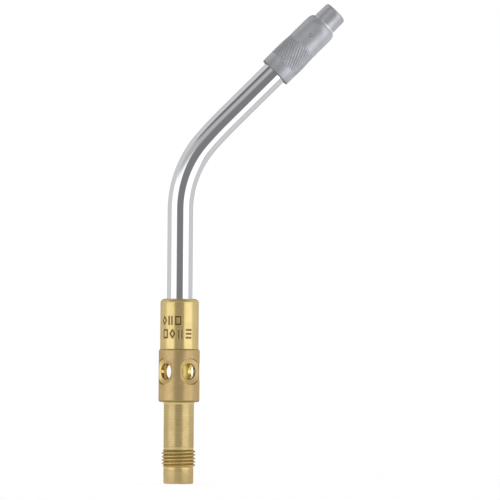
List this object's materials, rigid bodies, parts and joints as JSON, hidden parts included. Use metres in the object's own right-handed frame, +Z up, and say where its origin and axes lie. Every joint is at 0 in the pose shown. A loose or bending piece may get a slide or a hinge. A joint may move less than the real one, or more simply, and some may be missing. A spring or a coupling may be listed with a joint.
{
  "type": "air-fuel torch tip",
  "caption": "Bent-neck air-fuel torch tip with a threaded brass inlet, a ported mixer barrel, a polished neck tube and a knurled screw-off flame tip.",
  "frame": {"origin": "centre of the inlet end face, where the tip screws into its handle", "axes": "+Z up along the inlet and mixer body, +X towards the side that the neck bends to, so the flame end points along +X +Z"},
  "size_m": [0.069, 0.0154, 0.1814],
  "materials": {
    "bright_brass": "polished, with fine turning marks",
    "satin_brass": "satin, slightly toned",
    "neck_chrome": "mirror polish",
    "matt_steel": "fine matt, knurled band",
    "spring_steel": "dark spring steel",
    "sintered_bronze": "porous, granular",
    "copper": "annealed copper",
    "silver_braze": "silver brazing alloy"
  },
  "bodies": {
    "torch_body": {"inlet_stem": "bright_brass", "filter_clip": "spring_steel", "inlet_filter": "sintered_bronze", "jet_seal": "copper", "gas_jet": "bright_brass", "stem_braze_ring": "silver_braze", "mixer_barrel": "satin_brass", "venturi_insert": "bright_brass", "ferrule_braze_ring": "silver_braze", "neck_ferrule": "bright_brass", "tube_braze_ring": "silver_braze", "neck_tube": "neck_chrome", "nipple_braze_ring": "silver_braze", "tip_nipple": "bright_brass", "seat_washer": "copper"},
    "flame_head": {"flame_tube": "matt_steel", "swirl_rotor": "bright_brass", "rotor_clip": "spring_steel"},
    "sleeve": {"knurled_sleeve": "matt_steel", "sleeve_snap_ring": "spring_steel"}
  },
  "joints": [
    {"name": "tip_slide", "type": "slide", "parent": "torch_body", "child": "flame_head", "axis": [0.7059, 0, 0.7083], "range_m": [0, 0.00636]},
    {"name": "sleeve_turn", "type": "hinge", "parent": "flame_head", "child": "sleeve", "pos_m": [0.04412, 0, 0.16417], "axis": [0.7059, 0, 0.7083], "range_deg": [0, 2164]}
  ],
  "couplings": [
    {"joint": "sleeve_turn", "follows": "tip_slide", "rad_per_m": 5936.9}
  ]
}
